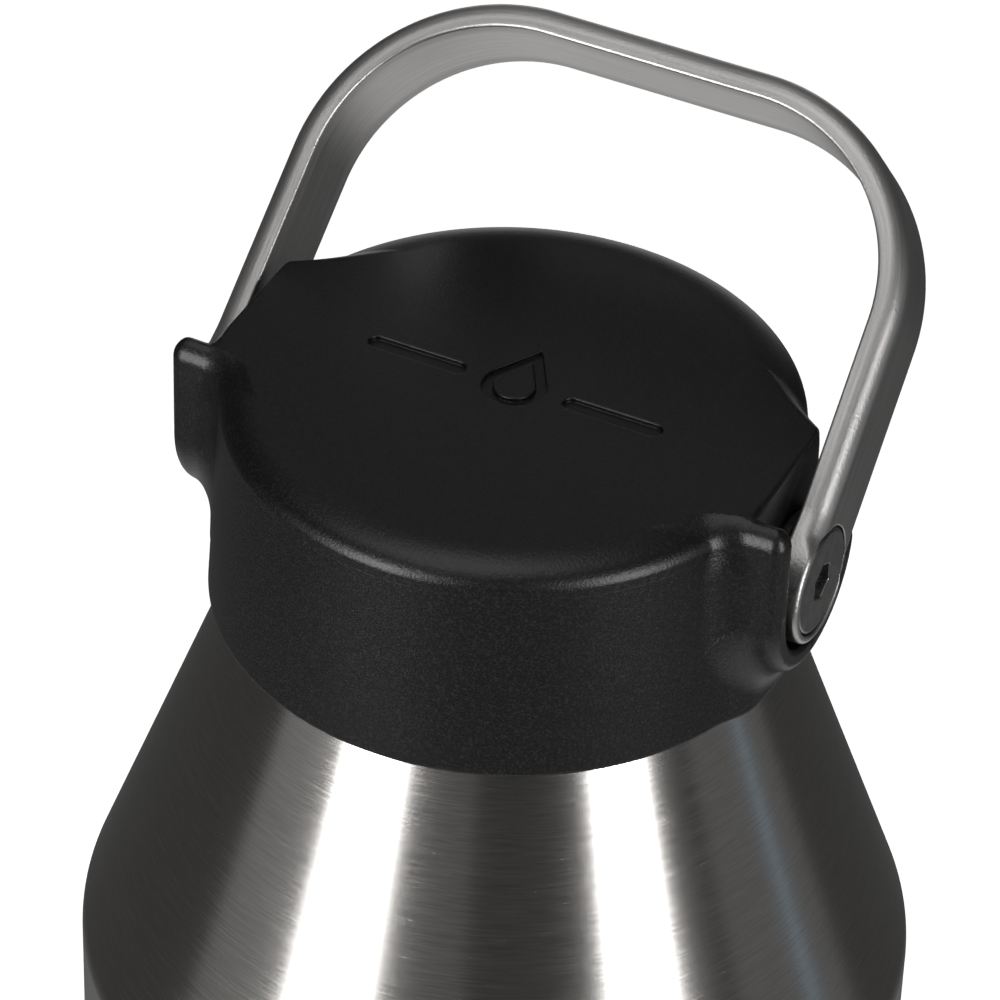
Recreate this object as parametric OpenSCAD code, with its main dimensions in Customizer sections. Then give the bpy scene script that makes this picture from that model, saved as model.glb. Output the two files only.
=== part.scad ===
// Vacuum-insulated steel drinking bottle with a black screw cap and a steel strap handle.
// Millimetres. Origin at the centre of the foot, +Z up, handle pivots on the X direction,
// and the handle leans back towards +Y onto its stops.

/* [Bottle] */
// Outside diameter of the body
body_d = 90; // [88:1:94]
// Height from the foot to the start of the shoulder bend
body_h = 182.3; // [120:0.1:240]
// Radius of the rolled bottom corner
foot_r = 4.5; // [4:0.5:6]
// Radius of the shoulder bend
shoulder_r = 7.3; // [6:0.1:10]
// Angle of the cone from the vertical
cone_angle = 20.1; // [19.8:0.1:20.6]
// Wall of the outer shell
shell_t = 0.6; // [0.4:0.1:0.7]
// Wall of the inner liner
liner_t = 0.5; // [0.4:0.1:0.6]
// Vacuum gap along the body
vacuum_gap = 3.4; // [3:0.1:5]

/* [Neck] */
// Outside diameter of the neck below the thread
neck_d = 47.4; // [47:0.1:47.6]
// Height of the lip above the lower edge of the cap
lip_rise = 17.5; // [17:0.1:18]
// Axial distance between neighbouring thread ridges
thread_pitch = 4; // [3.8:0.1:4.4]
// Number of thread starts
thread_starts = 2; // [2:1:2]
// Turns of each ridge
thread_turns = 0.9; // [0.6:0.1:0.9]

/* [Cap] */
// Height of the cap
cap_h = 25.5; // [25:0.1:27]
// Diameter of the cap at its top
cap_top_d = 59.8; // [59:0.1:60.2]
// Diameter of the cap at its lower edge
cap_bottom_d = 62.2; // [62:0.1:63]
// Width of the rounded rim, seen from above
rim_run = 5.2; // [3:0.1:6]
// Height of the rounded rim
rim_rise = 2.7; // [2:0.1:3]
// Depth of the handle pivots below the cap's top
pivot_drop = 12.2; // [12:0.1:13]

/* [Handle] */
// Width of the strap
strap_w = 11.8; // [10:0.1:12]
// Thickness of the strap
strap_t = 3.05; // [2.8:0.05:3.2]
// Clear width between the legs at the pivots
strap_gap = 63.8; // [63.8:0.1:64.4]
// Height of the strap's inner face above the pivots
strap_rise = 44.6; // [42:0.1:50]
// Inner radius of the strap's two bends
bend_r = 19.2; // [14:0.1:22]
// Angle at which each leg leans inwards
leg_lean = 1.36; // [0:0.01:2]
// Angle from upright at which the handle rests on its stops
rest_tilt = 50; // [46:0.5:54]
// Radius of the round ends of the strap
eye_r = 6.7; // [6.4:0.1:6.9]

/* [Hidden] */

$fn = 96;
arc_steps = 8;
fit_gap = 0.05;
big = 60;

// Bottle heights and radii
body_r = body_d / 2;
neck_r = neck_d / 2;
cone_rise = 47.2;
cap_z = body_h + cone_rise;
cap_top = cap_z + cap_h;
lip_z = cap_z + lip_rise;
ledge_z = cap_z + 4.8;
ledge_r = 2.2;
neck_fillet = 1;
foot_open_r = 39;
shoulder_z = body_h + shoulder_r * tan(cone_angle / 2);
lip_h = 1.6;
liner_d = shell_t + vacuum_gap;
liner_r = body_r - liner_d;
liner_neck_r = neck_r - shell_t - 0.8;
liner_bend_z = shoulder_z - liner_d * tan(cone_angle / 2);
liner_neck_z = shoulder_z + (body_r - liner_d / cos(cone_angle) - liner_neck_r) / tan(cone_angle);
liner_split_z = body_h - 10;
liner_join_z = 20;
liner_floor_z = 11.5;
liner_dish = 2;

// Base pieces
base_z = 6;
base_t = 0.8;
hole_r = 1.25;
cover_t = 0.5;
getter_y = 13;
getter_r = 4;
getter_h = 2.4;
clip_t = 0.35;
clip_length = 18;

// Thread section
thread_depth = 1.05;
thread_root_w = 1.9;
thread_crest_w = 1;
thread_z = ledge_z + 2.7;
lead = thread_pitch * thread_starts;
steps_per_turn = 40;
runout_steps = 5;

// Cap
wall = 2.2;
top_t = 2.4;
skirt_r = neck_r + 1.3;
skirt_t = 1.2;
skirt_z = ledge_z + 0.7;
plug_r = liner_neck_r - liner_t - 0.6;
plug_z = cap_z + 10.5;
plate_z = lip_z + 1;
plate_t = 1.5;
plate_r = 27.9;
mark_depth = 0.4;

// Handle pivots
pivot_z = cap_top - pivot_drop;
strap_x = strap_gap / 2;
pad_x = strap_x - 1.5;
pad_half_w = 7.5;
ridge_x = strap_x + 2.2;
ridge_w = 2.6;
stop_gap = 0.25;
boss_x = 26.5;
boss_r = 5.2;
screw_head_r = 5.65;
screw_head_t = 1.35;
recess_r = 5.8;
recess_depth = 1.5;
washer_play = 0.3;
shoulder_pin_r = 3;
thread_pin_r = 2;
insert_r = 3.2;

function unit(v) = v / norm(v);
function left_of(v) = [-v[1], v[0]];
function flat(p) = [p[0], p[1]];
function turn_of(u, v) = u[0] * v[1] - u[1] * v[0];
function reversed(list) = [for (i = [len(list) - 1 : -1 : 0]) list[i]];

// Points of the arc that rounds corner q, between p and s, with radius r
function arc_corner(p, q, s, r) =
    let (a = unit(p - q))
    let (b = unit(s - q))
    let (half = acos(a * b) / 2)
    let (c = q + unit(a + b) * r / sin(half))
    let (from = q + a * r / tan(half) - c)
    let (to = q + b * r / tan(half) - c)
    let (start = atan2(from[1], from[0]))
    let (sweep = atan2(turn_of(from, to), from * to))
    [for (i = [0 : arc_steps]) c + r * [cos(start + sweep * i / arc_steps),
                                        sin(start + sweep * i / arc_steps)]];

// A path of [x, z, radius] corners as plain points
function rounded(path) =
    [for (i = [0 : len(path) - 1])
        each (path[i][2] > 0
            ? arc_corner(flat(path[i - 1]), flat(path[i]), flat(path[i + 1]), path[i][2])
            : [flat(path[i])])];

// The same path moved to its left by d, with its bends kept concentric
function shifted(path, d) =
    [for (i = [0 : len(path) - 1])
        let (last = len(path) - 1)
        let (before = flat(path[max(i, 1)]) - flat(path[max(i, 1) - 1]))
        let (after = flat(path[min(i, last - 1) + 1]) - flat(path[min(i, last - 1)]))
        let (a = left_of(unit(before)))
        let (b = left_of(unit(after)))
        let (q = flat(path[i]) + d * (a + b) / (1 + a * b))
        [q[0], q[1], path[i][2] > 0 ? path[i][2] - d * sign(turn_of(before, after)) : 0]];

// Sheet metal of thickness t laid along the left side of a path, turned about Z
module turned_sheet(path, t)
    rotate_extrude()
        polygon(concat(rounded(path), reversed(rounded(shifted(path, t)))));

// One thread ridge, standing out from root_r to crest_r, which may also be the smaller
module ridge(root_r, crest_r, z0, angle0) {
    n = round(thread_turns * steps_per_turn);
    out = crest_r > root_r;
    section = [[0, -thread_root_w / 2], [1, -thread_crest_w / 2],
               [1, thread_crest_w / 2], [0, thread_root_w / 2]];
    points = [for (i = [0 : n])
        let (a = angle0 + 360 * i / steps_per_turn)
        let (z = z0 + lead * i / steps_per_turn)
        let (grow = min(1, (min(i, n - i) + 0.5) / runout_steps))
        for (q = section)
            let (r = root_r + (crest_r - root_r) * q[0] * grow)
            [r * cos(a), r * sin(a), z + q[1]]];
    sides = [for (i = [0 : n - 1])
        for (j = [0 : 3])
            let (k = (j + 1) % 4)
            each [[4 * i + j, 4 * i + k, 4 * i + 4 + k], [4 * i + j, 4 * i + 4 + k, 4 * i + 4 + j]]];
    ends = [[0, 2, 1], [0, 3, 2], [4 * n, 4 * n + 1, 4 * n + 2], [4 * n, 4 * n + 2, 4 * n + 3]];
    faces = concat(sides, ends);
    polyhedron(points, out ? faces : [for (f = faces) reversed(f)]);
}

// Puts its children at the left and right pivot, seen from inside with +X outwards
module at_pivot(side)
    translate([0, 0, pivot_z])
        mirror([side < 0 ? 1 : 0, 0, 0])
            children();

// A bar of radius r along X
module x_bar(r, from, to)
    translate([from, 0, 0])
        rotate([0, 90, 0])
            cylinder(h = to - from, r = r);

// ---------------------------------------------------------------- bottle

function shell_path() =
    [[foot_open_r, 0, 0],
     [body_r, 0, foot_r],
     [body_r, shoulder_z, shoulder_r],
     [body_r - (ledge_z - shoulder_z) * tan(cone_angle), ledge_z, ledge_r],
     [neck_r, ledge_z, neck_fillet],
     [neck_r, lip_z - lip_h, 0]];

module outer_shell() color("silver") {
    turned_sheet(shell_path(), shell_t);
    for (i = [0 : thread_starts - 1])
        rotate([0, 0, 360 / thread_starts * i])
            ridge(neck_r - 0.15, neck_r + thread_depth, thread_z, 0);
}

// Conical top of the liner, with the rolled lip that meets the shell's neck
module liner_shoulder() color("gainsboro") {
    inside_r = liner_neck_r - liner_t;
    turned_sheet([[liner_r, liner_split_z + fit_gap, 0],
                  [liner_r, liner_bend_z, shoulder_r - liner_d],
                  [liner_neck_r, liner_neck_z, 4],
                  [liner_neck_r, lip_z - lip_h / 2, 0]], liner_t);
    rotate_extrude()
        polygon(rounded([[inside_r, lip_z - lip_h + fit_gap, 0],
                         [neck_r, lip_z - lip_h + fit_gap, 0],
                         [neck_r, lip_z, 0.9],
                         [inside_r, lip_z, 0.9],
                         [inside_r, lip_z - lip_h + fit_gap, 0]]));
}

module liner_body() color("gainsboro")
    turned_sheet([[liner_r, liner_join_z, 0], [liner_r, liner_split_z, 0]], liner_t);

module liner_bottom() color("gainsboro")
    turned_sheet([[0, liner_floor_z + liner_dish, 0],
                  [22, liner_floor_z + liner_dish, 6],
                  [30, liner_floor_z, 6],
                  [liner_r, liner_floor_z, 8],
                  [liner_r, liner_join_z - fit_gap, 0]], liner_t);

module vacuum_base() color("darkgray") difference() {
    turned_sheet([[0, base_z, 0],
                  [30, base_z, 2],
                  [33, base_z + 2, 2],
                  [body_r - shell_t - fit_gap, base_z + 2, 2],
                  [body_r - shell_t - fit_gap, base_z + 6, 0]], base_t);
    translate([0, 0, base_z - 1])
        cylinder(h = base_t + 2, r = hole_r);
}

// Bead of glass solder that closes the evacuation hole
module seal_bead() color("darkolivegreen") translate([0, 0, base_z]) {
    translate([0, 0, -0.2])
        cylinder(h = base_t + 0.2, r = hole_r - fit_gap);
    translate([0, 0, -0.7])
        cylinder(h = 0.65, r1 = 1.6, r2 = 2.4);
}

module getter() color("dimgray")
    translate([0, getter_y, base_z + base_t + clip_t + 2 * fit_gap])
        cylinder(h = getter_h, r = getter_r);

// Spring clip that holds the getter down on the base
module getter_clip() color("silver") translate([0, getter_y, base_z + base_t + fit_gap]) difference() {
    clip_w = 3;
    clip_h = getter_h + 0.9;
    union() {
        cylinder(h = clip_h, r = getter_r + 0.5);
        translate([-clip_length / 2, -clip_w / 2, 0])
            cube([clip_length, clip_w, clip_t]);
    }
    translate([0, 0, clip_t])
        cylinder(h = getter_h + 2 * fit_gap, r = getter_r + fit_gap);
    translate([0, 0, clip_h / 2])
        cylinder(h = clip_h, r = getter_r - 1);
    for (a = [45, 135])
        rotate([0, 0, a])
            translate([-clip_w / 2, -clip_length / 2, 1])
                cube([clip_w, clip_length, clip_h]);
}

module copper_foil() color("peru") rotate_extrude()
    translate([liner_r + fit_gap, liner_join_z + 4])
        square([0.15, liner_bend_z - liner_join_z - 10]);

module base_cover() color("silver")
    turned_sheet([[0, 1.8, 0],
                  [29, 1.8, 2],
                  [32, 0.9, 2],
                  [foot_open_r - fit_gap, 0.9, 1.5],
                  [foot_open_r - fit_gap, 4.6, 0]], cover_t);

module lip_gasket() color("whitesmoke") rotate_extrude()
    translate([liner_neck_r - liner_t + fit_gap, lip_z + fit_gap])
        square([2.9, plate_z - lip_z - 2 * fit_gap]);

// ---------------------------------------------------------------- cap

// Section of the raised ridge beside the handle: x outwards, y away from the pocket
module ridge_section() {
    foot_x = 27.5;
    corner = 1.1;
    fillet_r = 3.6;
    overlap = 0.1;
    outer_y = pad_half_w + ridge_w;
    fillet_x = ridge_x - corner - 0.2;
    difference() {
        union() {
            translate([foot_x, pad_half_w])
                square([ridge_x - corner - foot_x, ridge_w]);
            translate([foot_x, pad_half_w + corner])
                square([ridge_x - foot_x, ridge_w - 2 * corner]);
            for (y = [pad_half_w + corner, outer_y - corner])
                translate([ridge_x - corner, y])
                    circle(r = corner);
            translate([foot_x, outer_y - overlap])
                square([fillet_x - foot_x, fillet_r + overlap]);
        }
        translate([fillet_x, outer_y + fillet_r])
            circle(r = fillet_r);
    }
}

// Raised ridge that runs down in front of the strap, under its end and up behind it
module ear_ridge() {
    below = pivot_z - cap_z;
    mirror([0, 1, 0])
        linear_extrude(height = pivot_drop)
            ridge_section();
    intersection() {
        rotate([0, 90, 0])
            rotate_extrude()
                rotate([0, 0, 90])
                    mirror([0, 1, 0])
                        ridge_section();
        union() {
            translate([0, -big / 2, -below])
                cube([big, big, below]);
            translate([0, 0, -below])
                cube([big, big / 2, below + pad_half_w / 2]);
        }
    }
}

// Flat pad that the handle's washer bears on
module ear_pad()
    translate([0, 0, -pivot_drop])
        linear_extrude(height = 2 * pivot_drop - 0.3)
            polygon([[24, -pad_half_w - 4], [pad_x, -pad_half_w], [pad_x, pad_half_w],
                     [24, pad_half_w + 4]]);

// Space the strap needs between its stops, seen along X about the pivot
module pocket_outline() {
    edge = strap_w / 2 + stop_gap;
    circle(r = pad_half_w);
    polygon([[-pad_half_w, 0],
             [-pad_half_w, big],
             [big, big],
             [big, (big * cos(rest_tilt) - edge) / sin(rest_tilt)],
             [edge * cos(rest_tilt), -edge * sin(rest_tilt)],
             [0, -edge]]);
}

// Space cut out beside the pad, in which the strap swings
module ear_pocket()
    translate([pad_x, 0, 0])
        rotate([90, 0, 90])
            linear_extrude(height = 10)
                pocket_outline();

// Plain mark sunk in the cap's top: a drop between two bars
module cap_mark() {
    drop_r = 3.3;
    ring_w = 1.1;
    bar = [9, 1.9];
    bar_x = 11;
    for (s = [-1, 1]) {
        translate([s * bar_x - bar[0] / 2, -bar[1] / 2])
            square(bar);
        for (e = [-1, 1])
            translate([s * bar_x + e * bar[0] / 2, 0])
                circle(r = bar[1] / 2);
    }
    difference() {
        drop_outline(drop_r);
        drop_outline(drop_r - ring_w);
    }
}

module drop_outline(r)
    polygon(concat([[0, 2 * r]],
                   [for (i = [0 : 2 * arc_steps])
                       r * [cos(150 + 120 * i / arc_steps), sin(150 + 120 * i / arc_steps)]]));

function rim_points() =
    [for (i = [0 : arc_steps])
        [cap_top_d / 2 - rim_run + rim_run * cos(90 * i / arc_steps),
         cap_top - rim_rise + rim_rise * sin(90 * i / arc_steps)]];

module cap_shell() color([0.13, 0.13, 0.13]) difference() {
    union() {
        rotate_extrude()
            polygon(concat([[0, cap_z], [cap_bottom_d / 2 - 0.4, cap_z], [cap_bottom_d / 2, cap_z + 0.5]],
                           rim_points(), [[0, cap_top]]));
        for (side = [-1, 1])
            at_pivot(side) {
                ear_ridge();
                ear_pad();
            }
    }
    cap_hollow();
    for (side = [-1, 1])
        at_pivot(side) {
            ear_pocket();
            x_bar(insert_r, boss_x - 6, pad_x + 1);
        }
    translate([0, 0, cap_top - mark_depth])
        linear_extrude(height = 1)
            cap_mark();
}

// Hollow inside the cap's shell, less the two bosses for the threaded inserts
module cap_hollow() difference() {
    rotate_extrude()
        polygon(concat([[0, cap_z - 1], [cap_bottom_d / 2 - wall, cap_z - 1]],
                       rounded([[cap_bottom_d / 2 - wall, cap_z, 0],
                                [cap_bottom_d / 2 - wall - 0.9, cap_top - top_t, 1.2],
                                [0, cap_top - top_t, 0]])));
    for (side = [-1, 1])
        at_pivot(side)
            x_bar(boss_r, boss_x, 32);
}

module cap_liner() color([0.2, 0.2, 0.2]) {
    difference() {
        union() {
            translate([0, 0, plate_z])
                cylinder(h = plate_t, r = plate_r);
            translate([0, 0, skirt_z])
                cylinder(h = plate_z - skirt_z + 0.5, r = skirt_r + skirt_t);
        }
        translate([0, 0, skirt_z - 1])
            cylinder(h = plate_z - skirt_z + 1, r = skirt_r);
        translate([0, 0, plate_z - 1])
            cylinder(h = plate_t + 2, r = plug_r - 1);
    }
    difference() {
        translate([0, 0, plug_z])
            cylinder(h = plate_z + plate_t - plug_z, r = plug_r);
        translate([0, 0, plug_z + plate_t])
            cylinder(h = big, r = plug_r - 1.5);
    }
    for (i = [0 : thread_starts - 1])
        rotate([0, 0, 360 / thread_starts * i])
            ridge(skirt_r + 0.15, skirt_r - thread_depth + 0.1, thread_z - 0.8, -126);
}

// Insulating disc with a stem that fills the plug
module foam_core() color("ivory") {
    translate([0, 0, plug_z + plate_t + fit_gap])
        cylinder(h = plate_z - plug_z, r = plug_r - 1.6);
    translate([0, 0, plate_z + plate_t + fit_gap])
        cylinder(h = cap_top - top_t - plate_z - plate_t - 2 * fit_gap, r = plate_r - 1.5);
}

// ---------------------------------------------------------------- handle pivots

module insert(side) color("goldenrod") at_pivot(side) difference() {
    x_bar(insert_r - 0.02, boss_x + 0.1, pad_x - 0.1);
    x_bar(thread_pin_r + 0.02, boss_x - 1, pad_x + 1);
}

module insert_left() insert(-1);

module insert_right() insert(1);

module washer(side) color("dimgray") at_pivot(side) difference() {
    x_bar(eye_r - 0.5, pad_x + fit_gap, strap_x - washer_play);
    x_bar(shoulder_pin_r + fit_gap, pad_x - 1, strap_x + 1);
}

module washer_left() washer(-1);

module washer_right() washer(1);

// Shoulder screw with a wide flat head and a hexagon socket
module pivot_screw(side) color("silver") at_pivot(side) {
    head_x = strap_x + strap_t - recess_depth + fit_gap;
    difference() {
        union() {
            x_bar(thread_pin_r, boss_x + 0.4, pad_x + 1);
            x_bar(shoulder_pin_r, pad_x + 0.02, head_x + 0.5);
            x_bar(screw_head_r, head_x, head_x + screw_head_t);
        }
        translate([head_x - 0.6, 0, 0])
            rotate([0, 90, 0])
                cylinder(h = 4, r = 3 / sqrt(3), $fn = 6);
    }
}

module pivot_screw_left() pivot_screw(-1);

module pivot_screw_right() pivot_screw(1);

// Inner line of the strap from the right pivot over the top to the left one
function strap_path() =
    let (top_x = strap_x - strap_rise * tan(leg_lean))
    [[strap_x, 0, 0], [top_x, strap_rise, bend_r], [-top_x, strap_rise, bend_r], [-strap_x, 0, 0]];

module handle_strap() color("silver")
    translate([0, 0, pivot_z])
        rotate([-rest_tilt, 0, 0])
            difference() {
                union() {
                    translate([0, strap_w / 2, 0])
                        rotate([90, 0, 0])
                            linear_extrude(height = strap_w)
                                polygon(concat(rounded(strap_path()),
                                               reversed(rounded(shifted(strap_path(), -strap_t)))));
                    for (side = [-1, 1])
                        mirror([side < 0 ? 1 : 0, 0, 0])
                            x_bar(eye_r, strap_x, strap_x + strap_t);
                }
                for (side = [-1, 1])
                    mirror([side < 0 ? 1 : 0, 0, 0]) {
                        x_bar(shoulder_pin_r + fit_gap, strap_x - 1, strap_x + strap_t + 1);
                        x_bar(recess_r, strap_x + strap_t - recess_depth, strap_x + strap_t + 1);
                    }
            }

outer_shell();
liner_shoulder();
liner_body();
liner_bottom();
vacuum_base();
seal_bead();
getter();
getter_clip();
copper_foil();
base_cover();
lip_gasket();
cap_shell();
cap_liner();
foam_core();
insert_left();
insert_right();
washer_left();
washer_right();
pivot_screw_left();
pivot_screw_right();
handle_strap();
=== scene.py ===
"""Insulated steel bottle with a black screw cap and a steel strap handle.

The meshes are worked out in millimetres, in the frame of the CAD part: the foot's centre is the origin,
+Z is up, the handle turns about X and leans back towards +Y.
"""

import math

import bpy
import numpy as np
from mathutils import Matrix, Vector


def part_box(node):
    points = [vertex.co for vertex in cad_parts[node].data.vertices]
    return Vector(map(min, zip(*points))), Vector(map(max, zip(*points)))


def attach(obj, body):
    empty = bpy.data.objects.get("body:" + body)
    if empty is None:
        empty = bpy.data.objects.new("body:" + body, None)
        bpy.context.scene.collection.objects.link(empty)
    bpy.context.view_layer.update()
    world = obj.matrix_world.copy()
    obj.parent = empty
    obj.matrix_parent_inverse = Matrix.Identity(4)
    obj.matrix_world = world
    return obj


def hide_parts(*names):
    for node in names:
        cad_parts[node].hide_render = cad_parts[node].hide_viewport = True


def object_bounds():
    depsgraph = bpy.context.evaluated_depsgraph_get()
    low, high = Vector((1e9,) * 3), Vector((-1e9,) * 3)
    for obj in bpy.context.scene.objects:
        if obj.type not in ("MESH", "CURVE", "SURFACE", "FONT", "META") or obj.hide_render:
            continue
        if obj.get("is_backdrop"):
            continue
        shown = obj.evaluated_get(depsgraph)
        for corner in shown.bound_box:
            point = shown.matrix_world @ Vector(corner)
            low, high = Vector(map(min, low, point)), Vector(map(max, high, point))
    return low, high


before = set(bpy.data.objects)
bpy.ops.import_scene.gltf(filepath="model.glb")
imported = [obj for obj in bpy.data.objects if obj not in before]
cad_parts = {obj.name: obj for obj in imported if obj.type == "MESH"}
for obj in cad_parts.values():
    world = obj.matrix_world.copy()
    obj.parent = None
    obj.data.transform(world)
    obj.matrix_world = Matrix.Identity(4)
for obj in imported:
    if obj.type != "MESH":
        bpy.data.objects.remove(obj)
cad_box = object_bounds()
MM = 0.001

# ---------------------------------------------------------------- sizes, in millimetres

CAP_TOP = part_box("cap_shell")[1].z / MM
CAP_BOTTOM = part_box("cap_shell")[0].z / MM
BODY_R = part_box("outer_shell")[1].x / MM
CAP_TOP_R = 29.9
CAP_BOTTOM_R = 31.1
RIM_RUN = 5.2
RIM_RISE = 2.7
CAP_WALL = 2.2
CAP_ROOF = 2.4
MARK_DEPTH = 0.5
MARK_BAR_X = 11
MARK_BAR_HALF = 4.5
MARK_BAR_R = 0.95
MARK_DROP_R = 2.75
MARK_RING_HALF = 0.55

PIVOT_Z = CAP_TOP - 12.2
PAD_X = 30.4
PAD_HALF = 7.5
PAD_INNER_X = 18.0
PAD_FILLET = 3.0
PAD_FLARE = (0.4, 0.917)
RIDGE_X = 34.4
RIDGE_W = 2.6
RIDGE_INNER_X = 24.0
RIDGE_EDGE = 1.5
RIDGE_TOP_EDGE = 2.2
RIDGE_FILLET = 3.2
RIDGE_TOP_FILLET = 1.5
POCKET_EDGE = 0.5
BOSS_R = 5.2
BOSS_X = 26.5
INSERT_R = 3.2

STRAP_W = 11.8
STRAP_T = 3.05
STRAP_X = 31.9
STRAP_RISE = 44.6
BEND_R = 19.2
LEG_LEAN = math.radians(1.36)
REST_TILT = math.radians(50)
EYE_R = 6.7
RECESS_R = 5.8
RECESS_DEPTH = 1.5
PIN_R = 3.0
HEAD_R = 5.65
HEAD_T = 1.35
SOCKET_HALF = 1.8
SOCKET_DEPTH = 0.55
STEM_R = 2.0

CONE = math.radians(20.1)
BODY_H = 182.3
SHOULDER_R = 7.3
FOOT_R = 4.5
SHELL_T = 0.6
LINER_T = 0.5
VACUUM_GAP = 3.4
LINER_FOOT_Z = 20.0
PLUG_R = 21.2
NECK_R = 23.7
LEDGE_Z = CAP_BOTTOM + 4.8
LIP_Z = CAP_BOTTOM + 17.5
LEAD = 8.0
THREAD_TURNS = 0.9
THREAD_DEPTH = 1.05
THREAD_Z = LEDGE_Z + 2.7

# ---------------------------------------------------------------- camera


def make_camera():
    """The camera at the photograph's viewing angle."""
    azimuth, elevation, roll = (math.radians(x) for x in (24.8935, 38.5822, 2.0317))
    distance, lens, across, above = 555.98, 197.865, -1.452, -11.61
    back = Vector((math.sin(azimuth) * math.cos(elevation),
                   -math.cos(azimuth) * math.cos(elevation), math.sin(elevation)))
    level = Vector((math.cos(azimuth), math.sin(azimuth), 0))
    rise = back.cross(level)
    side = level * math.cos(roll) + rise * math.sin(roll)
    top = rise * math.cos(roll) - level * math.sin(roll)
    place = back * distance + side * across + top * above + Vector((0, 0, CAP_TOP))
    data = bpy.data.cameras.new("camera")
    data.lens = lens
    data.sensor_width = 36
    data.clip_start, data.clip_end = 0.01, 50
    camera = bpy.data.objects.new("camera", data)
    turn = Matrix((side, top, back)).transposed().to_4x4()
    camera.matrix_world = Matrix.Translation(place * MM) @ turn
    bpy.context.scene.collection.objects.link(camera)
    bpy.context.scene.camera = camera


make_camera()

# ---------------------------------------------------------------- mesh tools


def round_join(a, b, r):
    """Union of two distance fields with a fillet of radius r."""
    corner = np.hypot(np.maximum(r - a, 0), np.maximum(r - b, 0))
    return np.maximum(r, np.minimum(a, b)) - corner


def round_meet(a, b, r):
    """Intersection of two distance fields with its edge rounded to radius r."""
    return -round_join(-a, -b, r)


def eased(low, high, x):
    """0 below low, 1 above high, and a smooth step between."""
    share = np.clip((x - low) / (high - low), 0, 1)
    return share * share * (3 - 2 * share)


def spaced(*stops):
    """Grid coordinates through (place, step) stops: from each place to the next at about that step."""
    marks = [np.array([stops[0][0]])]
    for (start, step), (end, _) in zip(stops, stops[1:]):
        count = max(1, round(abs(end - start) / step))
        marks.append(np.linspace(start, end, count + 1)[1:])
    return np.concatenate(marks)


def both_sides(half):
    """A grid that mirrors half, which starts at 0."""
    return np.concatenate([-half[:0:-1], half])


def gradient(field, p, step=0.01):
    """Slope of the field at the points p."""
    slope = np.empty_like(p)
    for axis in range(3):
        ahead, behind = p.copy(), p.copy()
        ahead[:, axis] += step
        behind[:, axis] -= step
        slope[:, axis] = (field(*ahead.T) - field(*behind.T)) / (2 * step)
    return slope


def surface_of(field, xs, ys, zs):
    """Quads on field = 0, where the field is negative inside, with its points moved onto the surface."""
    value = np.stack([field(np.full((len(ys), len(zs)), x), ys[:, None] + 0 * zs, zs + 0 * ys[:, None])
                      for x in xs])
    inside = value < 0
    corners = [(slice(i, len(xs) - 1 + i), slice(j, len(ys) - 1 + j), slice(k, len(zs) - 1 + k))
               for i in (0, 1) for j in (0, 1) for k in (0, 1)]
    count = sum(inside[c].astype(np.int8) for c in corners)
    cells = np.argwhere((count > 0) & (count < 8))
    number = np.full(count.shape, -1)
    number[tuple(cells.T)] = np.arange(len(cells))
    total = np.zeros((len(cells), 3))
    crossings = np.zeros(len(cells))
    grid = (xs, ys, zs)
    for axis in range(3):
        others = [a for a in range(3) if a != axis]
        for shift in ((0, 0), (0, 1), (1, 0), (1, 1)):
            start = cells.copy()
            start[:, others] += shift
            end = start.copy()
            end[:, axis] += 1
            a, b = value[tuple(start.T)], value[tuple(end.T)]
            cut = (a < 0) != (b < 0)
            share = np.where(cut, a / np.where(cut, a - b, 1), 0)
            place = np.stack([grid[k][start[:, k]] for k in range(3)], 1)
            place[:, axis] += share * (grid[axis][end[:, axis]] - grid[axis][start[:, axis]])
            total += np.where(cut[:, None], place, 0)
            crossings += cut
    points = total / crossings[:, None]
    for _ in range(3):
        slope = gradient(field, points)
        size = np.maximum((slope ** 2).sum(1), 0.25)
        points -= np.clip(slope * (field(*points.T) / size)[:, None], -0.3, 0.3)
    normals = gradient(field, points)
    normals /= np.maximum(np.linalg.norm(normals, axis=1), 1e-9)[:, None]
    quads = []
    for axis in range(3):
        a = np.moveaxis(inside, axis, 0)
        cell = np.moveaxis(number, axis, 0)
        i, j, k = np.nonzero((a[1:] != a[:-1])[:, 1:-1, 1:-1])
        ring = np.stack([cell[i, j, k], cell[i, j + 1, k], cell[i, j + 1, k + 1], cell[i, j, k + 1]], 1)
        outward = a[:-1][:, 1:-1, 1:-1][i, j, k] ^ (axis == 1)
        quads.append(np.where(outward[:, None], ring, ring[:, ::-1]))
    return points, np.concatenate(quads), normals


def new_piece(name, points, faces, body, nodes, material, normals=None):
    """A smooth-shaded piece, given in millimetres, that rides on a body and stands for CAD nodes."""
    mesh = bpy.data.meshes.new(name)
    if isinstance(faces, np.ndarray):
        faces = faces.tolist()
    mesh.from_pydata((np.asarray(points) * MM).tolist(), [], faces)
    mesh.polygons.foreach_set("use_smooth", np.ones(len(mesh.polygons), bool))
    mesh.materials.append(material)
    piece = bpy.data.objects.new(name, mesh)
    bpy.context.scene.collection.objects.link(piece)
    if normals is not None:
        mesh.normals_split_custom_set_from_vertices(np.asarray(normals).tolist())
    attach(piece, body)
    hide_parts(*nodes)
    return piece


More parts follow.
